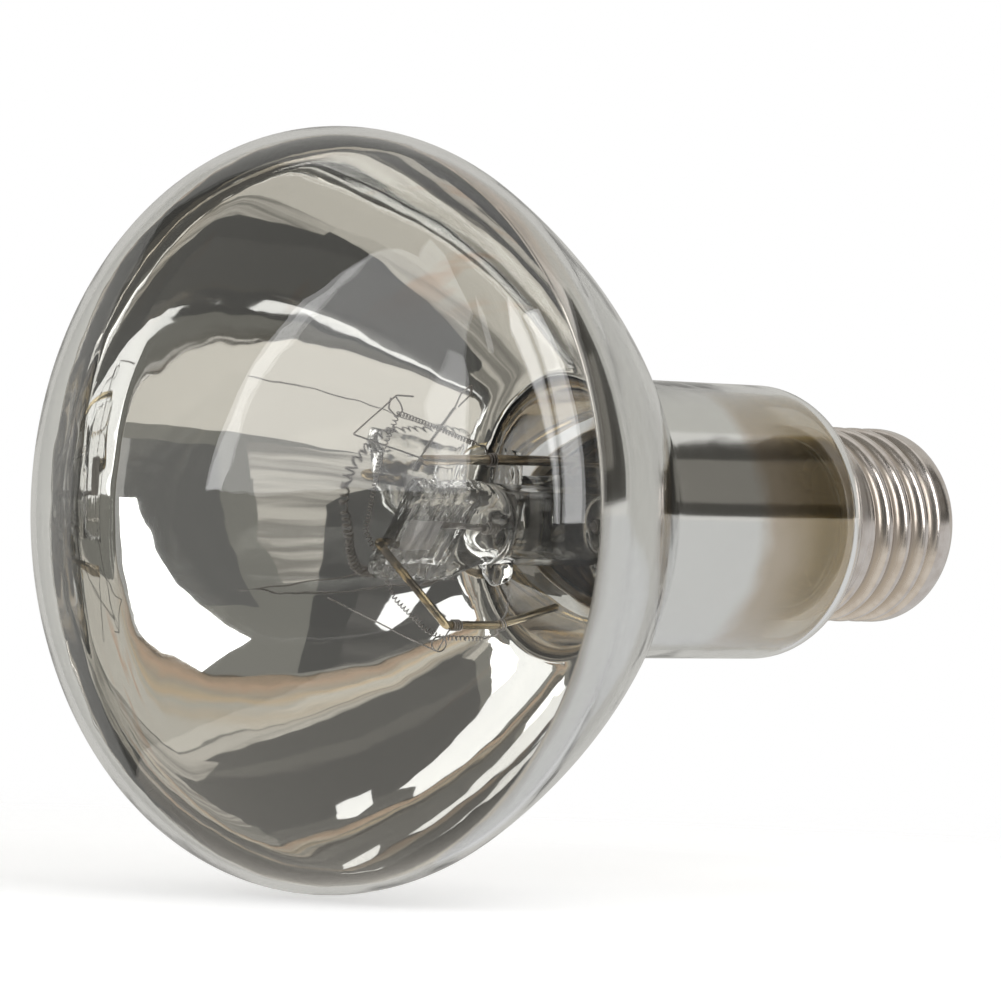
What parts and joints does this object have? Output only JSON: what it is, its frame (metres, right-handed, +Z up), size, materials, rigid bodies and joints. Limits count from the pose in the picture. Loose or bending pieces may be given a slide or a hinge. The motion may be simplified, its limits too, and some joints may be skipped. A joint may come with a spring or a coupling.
{
  "type": "mercury vapour reflector lamp",
  "caption": "Reflector lamp with a domed clear face, mirrored bowl, quartz mercury arc tube, series filament and Edison screw cap; gives heat and ultraviolet light to a reptile enclosure.",
  "frame": {"origin": "centre of the cap's end contact face, on the lamp's axis", "axes": "+Y along the lamp's axis, out of the screw cap's end; the domed face looks along -Y; +Z up as in the picture"},
  "size_m": [0.095, 0.1326, 0.095],
  "materials": {
    "clear_glass": "clear blown soda glass, glossy, slightly wavy",
    "mirror_coat": "vapour-deposited aluminium, bright, brown and thin at its edges",
    "stem_glass": "clear lead glass",
    "quartz": "clear fused quartz, crinkled in the pinch seals",
    "tungsten": "dull grey drawn tungsten",
    "molybdenum": "grey foil",
    "nickel_wire": "drawn nickel wire with a heat-browned sheen",
    "ceramic_body": "matt pale ceramic",
    "cap_metal": "nickel-plated brass, bright rolled thread",
    "contact_metal": "bare brass",
    "solder": "smooth tin solder",
    "dark_glass": "black moulded glass",
    "cement": "baked capping cement"
  },
  "bodies": {
    "root": {"glass_envelope": "clear_glass", "mirror_coating": "mirror_coat", "stem_glass": "stem_glass", "exhaust_tube": "stem_glass", "arc_tube": "quartz", "front_electrode": "tungsten", "rear_electrode": "tungsten", "starting_electrode": "tungsten", "front_foil": "molybdenum", "rear_foil": "molybdenum", "starting_foil": "molybdenum", "return_wire": "nickel_wire", "support_rod": "nickel_wire", "upper_hook": "nickel_wire", "far_hook": "nickel_wire", "lower_hook": "nickel_wire", "ballast_filament": "tungsten", "rear_lead": "nickel_wire", "starting_lead": "nickel_wire", "starting_resistor": "ceramic_body", "resistor_wire": "nickel_wire", "centre_lead": "nickel_wire", "side_lead": "nickel_wire", "cap_shell": "cap_metal", "cap_insulator": "dark_glass", "centre_contact": "contact_metal", "centre_solder": "solder", "cap_cement": "cement", "side_solder": "solder"}
  },
  "joints": []
}
